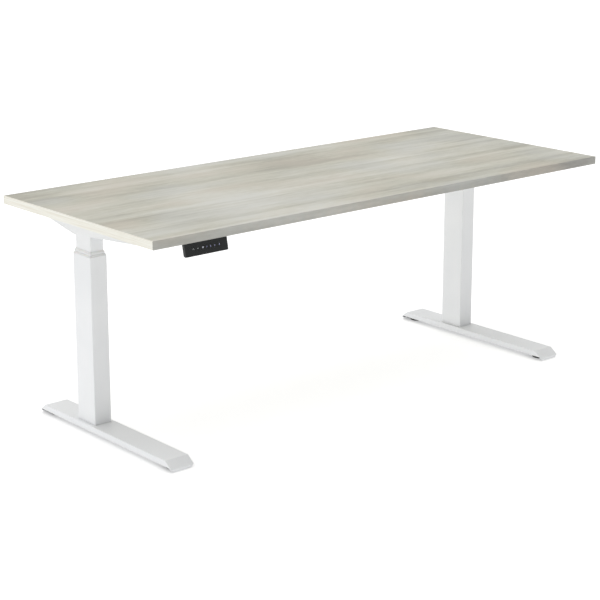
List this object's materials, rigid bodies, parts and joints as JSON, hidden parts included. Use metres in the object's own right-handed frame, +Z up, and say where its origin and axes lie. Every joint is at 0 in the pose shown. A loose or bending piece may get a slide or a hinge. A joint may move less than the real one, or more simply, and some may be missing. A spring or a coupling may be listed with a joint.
{
  "type": "height adjustable standing desk",
  "caption": "Rectangular desk top with a pale wood-grain finish on an electric lifting frame of telescoping columns and long flat feet, with a control panel under the front edge.",
  "frame": {"origin": "on the floor under the centre of the desk top", "axes": "+X to the user's right along the desk's length, +Y away from the user, +Z up"},
  "size_m": [1.8, 0.75, 0.69],
  "materials": {
    "white_steel": "satin white powder coat",
    "white_plastic": "moulded white nylon",
    "zinc_steel": "zinc plated steel",
    "cast_alloy": "die-cast",
    "motor_steel": "nickel plated can",
    "washed_oak": "pale washed woodgrain melamine on particle board",
    "edge_band": "woodgrain edge banding",
    "black_plastic": "fine moulded texture",
    "black_gloss": "smooth black",
    "rubber": "matt cable jacket",
    "circuit": "circuit board with parts"
  },
  "bodies": {
    "left_base": {"left_foot": "white_steel", "left_outer_tube": "white_steel", "left_outer_collar": "white_plastic", "left_base_plate": "zinc_steel", "left_lower_spindle": "zinc_steel"},
    "left_middle": {"left_middle_tube": "white_steel", "left_middle_collar": "white_plastic", "left_middle_end_plate": "zinc_steel"},
    "left_sleeve": {"left_spindle_sleeve": "zinc_steel"},
    "left_drive": {"left_drive_tube": "zinc_steel"},
    "left_glide_front_body": {"left_glide_front": "black_plastic"},
    "left_glide_rear_body": {"left_glide_rear": "black_plastic"},
    "right_base": {"right_foot": "white_steel", "right_outer_tube": "white_steel", "right_outer_collar": "white_plastic", "right_base_plate": "zinc_steel", "right_lower_spindle": "zinc_steel"},
    "right_middle": {"right_middle_tube": "white_steel", "right_middle_collar": "white_plastic", "right_middle_end_plate": "zinc_steel"},
    "right_sleeve": {"right_spindle_sleeve": "zinc_steel"},
    "right_drive": {"right_drive_tube": "zinc_steel"},
    "right_glide_front_body": {"right_glide_front": "black_plastic"},
    "right_glide_rear_body": {"right_glide_rear": "black_plastic"},
    "top": {"left_inner_tube": "white_steel", "left_gearbox": "cast_alloy", "left_motor": "motor_steel", "left_column_head": "zinc_steel", "left_side_bracket": "white_steel", "right_inner_tube": "white_steel", "right_gearbox": "cast_alloy", "right_motor": "motor_steel", "right_column_head": "zinc_steel", "right_side_bracket": "white_steel", "desktop_board": "washed_oak", "edge_band_front": "edge_band", "edge_band_rear": "edge_band", "edge_band_left": "edge_band", "edge_band_right": "edge_band", "beam_left": "white_steel", "beam_right": "white_steel", "beam_sleeve": "white_steel", "control_box_cover": "black_plastic", "control_box_base": "black_plastic", "control_circuit": "circuit", "power_inlet": "black_plastic", "socket_row": "black_plastic", "motor_lead_left": "rubber", "motor_lead_right": "rubber", "handset_lead": "rubber", "handset_face": "black_gloss", "handset_body": "black_plastic"},
    "key_up_body": {"key_up": "black_gloss"},
    "key_down_body": {"key_down": "black_gloss"},
    "key_store_body": {"key_store": "black_gloss"},
    "key_1_body": {"key_1": "black_gloss"},
    "key_2_body": {"key_2": "black_gloss"},
    "key_3_body": {"key_3": "black_gloss"},
    "key_4_body": {"key_4": "black_gloss"}
  },
  "joints": [
    {"name": "lift", "type": "slide", "parent": "left_base", "child": "top", "axis": [0, 0, 1], "range_m": [0, 0.6]},
    {"name": "left_middle_lift", "type": "slide", "parent": "left_base", "child": "left_middle", "axis": [0, 0, 1], "range_m": [0, 0.3]},
    {"name": "right_base_drop", "type": "slide", "parent": "top", "child": "right_base", "axis": [0, 0, -1], "range_m": [0, 0.6]},
    {"name": "right_middle_lift", "type": "slide", "parent": "right_base", "child": "right_middle", "axis": [0, 0, 1], "range_m": [0, 0.3]},
    {"name": "left_sleeve_spin", "type": "hinge", "parent": "left_middle", "child": "left_sleeve", "pos_m": [-0.772, 0.119, 0.052], "axis": [0, 0, 1], "continuous": true},
    {"name": "left_drive_spin", "type": "hinge", "parent": "top", "child": "left_drive", "pos_m": [-0.772, 0.119, 0.455], "axis": [0, 0, 1], "continuous": true},
    {"name": "right_sleeve_spin", "type": "hinge", "parent": "right_middle", "child": "right_sleeve", "pos_m": [0.772, 0.119, 0.052], "axis": [0, 0, 1], "continuous": true},
    {"name": "right_drive_spin", "type": "hinge", "parent": "top", "child": "right_drive", "pos_m": [0.772, 0.119, 0.455], "axis": [0, 0, 1], "continuous": true},
    {"name": "left_glide_front_adjust", "type": "slide", "parent": "left_base", "child": "left_glide_front_body", "axis": [0, 0, -1], "range_m": [0, 0.01]},
    {"name": "left_glide_rear_adjust", "type": "slide", "parent": "left_base", "child": "left_glide_rear_body", "axis": [0, 0, -1], "range_m": [0, 0.01]},
    {"name": "right_glide_front_adjust", "type": "slide", "parent": "right_base", "child": "right_glide_front_body", "axis": [0, 0, -1], "range_m": [0, 0.01]},
    {"name": "right_glide_rear_adjust", "type": "slide", "parent": "right_base", "child": "right_glide_rear_body", "axis": [0, 0, -1], "range_m": [0, 0.01]},
    {"name": "key_up_press", "type": "slide", "parent": "top", "child": "key_up_body", "axis": [0, 0.9776, -0.2102], "range_m": [0, 0.0007], "stiffness_N_per_m": 600},
    {"name": "key_down_press", "type": "slide", "parent": "top", "child": "key_down_body", "axis": [0, 0.9776, -0.2102], "range_m": [0, 0.0007], "stiffness_N_per_m": 600},
    {"name": "key_store_press", "type": "slide", "parent": "top", "child": "key_store_body", "axis": [0, 0.9776, -0.2102], "range_m": [0, 0.0007], "stiffness_N_per_m": 600},
    {"name": "key_1_press", "type": "slide", "parent": "top", "child": "key_1_body", "axis": [0, 0.9776, -0.2102], "range_m": [0, 0.0007], "stiffness_N_per_m": 600},
    {"name": "key_2_press", "type": "slide", "parent": "top", "child": "key_2_body", "axis": [0, 0.9776, -0.2102], "range_m": [0, 0.0007], "stiffness_N_per_m": 600},
    {"name": "key_3_press", "type": "slide", "parent": "top", "child": "key_3_body", "axis": [0, 0.9776, -0.2102], "range_m": [0, 0.0007], "stiffness_N_per_m": 600},
    {"name": "key_4_press", "type": "slide", "parent": "top", "child": "key_4_body", "axis": [0, 0.9776, -0.2102], "range_m": [0, 0.0007], "stiffness_N_per_m": 600}
  ],
  "couplings": [
    {"joint": "left_middle_lift", "follows": "lift", "ratio": 0.5},
    {"joint": "right_base_drop", "follows": "lift", "ratio": 1},
    {"joint": "right_middle_lift", "follows": "lift", "ratio": 0.5},
    {"joint": "left_sleeve_spin", "follows": "lift", "rad_per_m": 196.35},
    {"joint": "left_drive_spin", "follows": "lift", "rad_per_m": 392.7},
    {"joint": "right_sleeve_spin", "follows": "lift", "rad_per_m": 196.35},
    {"joint": "right_drive_spin", "follows": "lift", "rad_per_m": 392.7}
  ]
}
